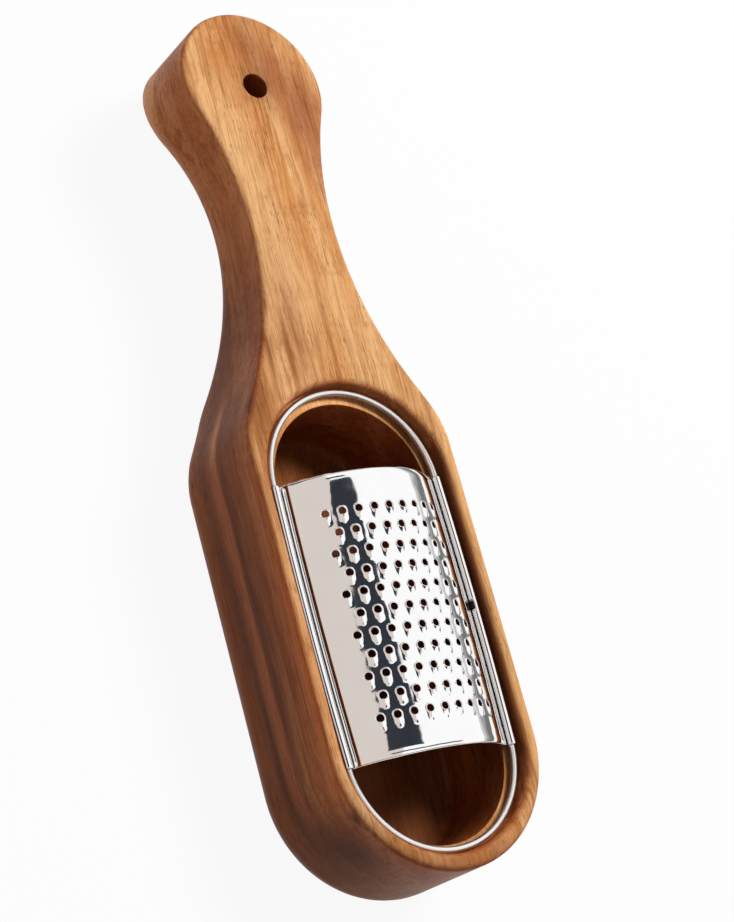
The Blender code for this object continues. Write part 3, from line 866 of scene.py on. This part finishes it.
centres = []
patches = []
fine_y = np.linspace(field_foot_y, field_handle_y, tooth_rows * cell_steps + 1)
for row in range(tooth_rows):
    mid_y = teeth_mid_y + (row - (tooth_rows - 1) / 2) * row_pitch
    count = tooth_columns - row % 2
    centres += [((i - (count - 1) / 2) * column_pitch, mid_y) for i in range(count)]
    if count < tooth_columns:
        row_lines = fine_y[row * cell_steps:(row + 1) * cell_steps + 1]
        edge = np.linspace(count * column_pitch / 2, field_half, cell_steps // 2 + 1)
        patches += [sheet_grid(edge, row_lines), sheet_grid(-edge[::-1], row_lines)]
patches += tooth_cells(np.array(centres))
foot_lines = np.concatenate([
    np.linspace(plate_foot_y, plate_foot_y + lip_length, 6)[:-1],
    np.linspace(plate_foot_y + lip_length, field_foot_y, 8),
])
handle_lines = np.concatenate([
    np.linspace(field_handle_y, plate_handle_y - lip_length, 9)[:-1],
    np.linspace(plate_handle_y - lip_length, plate_handle_y, 6),
])
field_s = np.linspace(-field_half, field_half, tooth_columns * cell_steps + 1)
patches += [sheet_grid(field_s, foot_lines), sheet_grid(field_s, handle_lines)]
all_y = np.concatenate([foot_lines, fine_y[1:-1], handle_lines])
for half in (0, 1):
    outer_s = np.concatenate([
        np.linspace(field_half, arch_half_length[half], 5)[:-1],
        np.linspace(arch_half_length[half], heel_start[half], 7)[:-1],
        np.linspace(heel_start[half], heel_end[half], 6)[:-1],
        np.linspace(heel_end[half], flange_end[half], 4)[:-1],
        np.linspace(flange_end[half], notch_start[half], 22)[:-1],
        np.linspace(notch_start[half], curl_end[half], 8),
    ])
    patches.append(sheet_grid(outer_s if half else -outer_s[::-1], all_y))

plate = join_patches("grating_sheet", patches, 2e-6)
plate.data.shade_smooth()
shell = plate.modifiers.new("sheet", "SOLIDIFY")
shell.thickness = plate_thickness
shell.offset = 0
shell.use_even_offset = True
plate.data.materials.append(polished_steel(
    "polished_sheet_steel",
    colour=(0.97, 0.97, 0.97, 1.0),
    roughness=0.05,
    haze=0.05,
    scratch=0.03,
    curled=True,
))
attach(plate, "grater_insert")
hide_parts("grating_plate")

# The studio: a plain white floor under a white surround, one broad soft lamp high on the right
# and a weaker one on the left, and dark and grey cards, overhead and upright, that only the
# steel sees.

floor_reach = 4
floor_z = -0.0001
floor_glow = 0.93
surround_light = 0.10
dark = (0.030, 0.034, 0.044, 1.0)
dark_height = 1.5
grey_height = 1.6


def looked_at(tree):
    """One where the camera, a reflection or glass shows the surface, and nought elsewhere."""
    path = tree.nodes.new("ShaderNodeLightPath")
    rays = [Signal(tree, path.outputs[f"Is {kind} Ray"]) for kind in ("Camera", "Glossy", "Transmission")]
    return rays[0].sum_of("MAXIMUM", rays[1]).sum_of("MAXIMUM", rays[2])


floor_mesh = bpy.data.meshes.new("floor")
floor_plan = np.array([(-1, -1), (1, -1), (1, 1), (-1, 1)]) * floor_reach
floor_mesh.from_pydata(at_height(floor_plan, floor_z), [], [(0, 1, 2, 3)])
floor = bpy.data.objects.new("floor", floor_mesh)
bpy.context.scene.collection.objects.link(floor)
paper, shader, _ = new_material("white_paper")
shader.inputs["Base Color"].default_value = (0.75, 0.75, 0.75, 1.0)
shader.inputs["Roughness"].default_value = 0.9
tree = paper.node_tree
seen = looked_at(tree)
glow = seen.make("ShaderNodeEmission", {"Color": (1.0, 1.0, 1.0, 1.0), "Strength": 1.0})
matt = Signal(tree, shader.outputs["BSDF"])
mixed = seen.make("ShaderNodeMixShader", {0: seen * floor_glow, 1: matt, 2: glow})
tree.links.new(mixed.socket, tree.nodes["Material Output"].inputs["Surface"])
floor_mesh.materials.append(paper)

world = bpy.data.worlds.new("surround")
bpy.context.scene.world = world
world.use_nodes = True
tree = world.node_tree
strength = looked_at(tree) * (1 - surround_light) + surround_light
background = tree.nodes["Background"]
background.inputs["Color"].default_value = (1.0, 1.0, 1.0, 1.0)
tree.links.new(strength.socket, background.inputs["Strength"])


def card(name, corners, colour):
    """A flat glowing card that only reflections see: its even tone is light that it gives off."""
    mesh = bpy.data.meshes.new(name)
    mesh.from_pydata(corners, [], [tuple(range(len(corners)))])
    board = bpy.data.objects.new(name, mesh)
    bpy.context.scene.collection.objects.link(board)
    material = bpy.data.materials.new(name)
    material.use_nodes = True
    nodes = material.node_tree.nodes
    nodes.remove(nodes["Principled BSDF"])
    light = nodes.new("ShaderNodeEmission")
    light.inputs["Color"].default_value = colour
    material.node_tree.links.new(light.outputs[0], nodes["Material Output"].inputs["Surface"])
    mesh.materials.append(material)
    board.visible_camera = False
    board.visible_diffuse = False
    board.visible_shadow = False
    board.visible_transmission = False
    board.visible_volume_scatter = False


def overhead(outline, height):
    """Corners of a level card: the outline lifted to the height."""
    return [(x, y, height) for x, y in outline]


def upright(start, end, low, high):
    """Corners of a standing card: a line on the floor, lifted to two heights."""
    return [(*start, low), (*end, low), (*end, high), (*start, high)]


for name, outline in {
    "dark_card": [(0.20, 0.48), (0.20, -0.02), (-0.68, -0.02), (-0.60, 0.16), (-0.37, 0.42), (-0.33, 0.48)],
    "handle_strip": [(0.10, 1.05), (0.18, 0.72), (-0.40, 0.72), (-0.36, 1.05)],
    "foot_strip": [(1.5, -0.45), (1.5, -0.62), (-0.6, -0.62), (-0.6, -0.45)],
}.items():
    card(name, overhead(outline, dark_height), dark)
grey_outline = [(-9, -6), (-9, 6), (-0.3, 6), (-0.3, -6)]
card("grey_card", overhead(grey_outline, grey_height), (0.69, 0.62, 0.58, 1.0))
card("foot_card", upright((-1.5, -1.6), (1.6, -1.6), 0.5, 1.5), (0.05, 0.05, 0.055, 1.0))
card("handle_card", upright((-1.5, 1.7), (0.9, 1.7), 0.5, 1.2), (0.12, 0.12, 0.13, 1.0))
for low, high, grey in ((0, 0.12, 0.18), (0.12, 0.17, 0.34), (0.17, 0.23, 0.58)):
    card(f"low_card_{grey}", upright((0.7, -2), (0.7, 2), low, high), (grey, grey, grey, 1.0))


def lamp(name, place, size, power, target=(0, 0, 0.03)):
    """A square soft lamp that looks at a point and that reflections don't show."""
    light = bpy.data.lights.new(name, "AREA")
    light.shape = "SQUARE"
    light.size = size
    light.energy = power
    holder = bpy.data.objects.new(name, light)
    bpy.context.scene.collection.objects.link(holder)
    holder.location = place
    holder.rotation_euler = (Vector(target) - Vector(place)).to_track_quat("-Z", "Y").to_euler()
    holder.visible_glossy = False


lamp("key", (0.78, 0.55, 1.60), size=0.7, power=38)
lamp("fill", (-1.3, -0.9, 1.2), size=1.4, power=2.0)

# The camera stands where the photograph was taken from: its place, turn and focal length are fitted
focal_pixels = 2219.66
frame_pixels = 922
camera_place = (-0.450383, -0.244701, 0.652118)
camera_data = bpy.data.cameras.new("camera")
camera_data.sensor_width = 36
camera_data.lens = focal_pixels * camera_data.sensor_width / frame_pixels
camera_data.clip_start = 0.01
camera = bpy.data.objects.new("camera", camera_data)
bpy.context.scene.collection.objects.link(camera)
turn = Matrix((
    (0.81411, 0.04415, -0.57903),
    (-0.25583, 0.92240, -0.28937),
    (0.52132, 0.38371, 0.76222),
))
camera.matrix_world = Matrix.Translation(camera_place) @ turn.to_4x4()
bpy.context.scene.camera = camera
bpy.context.scene.view_settings.view_transform = "Standard"
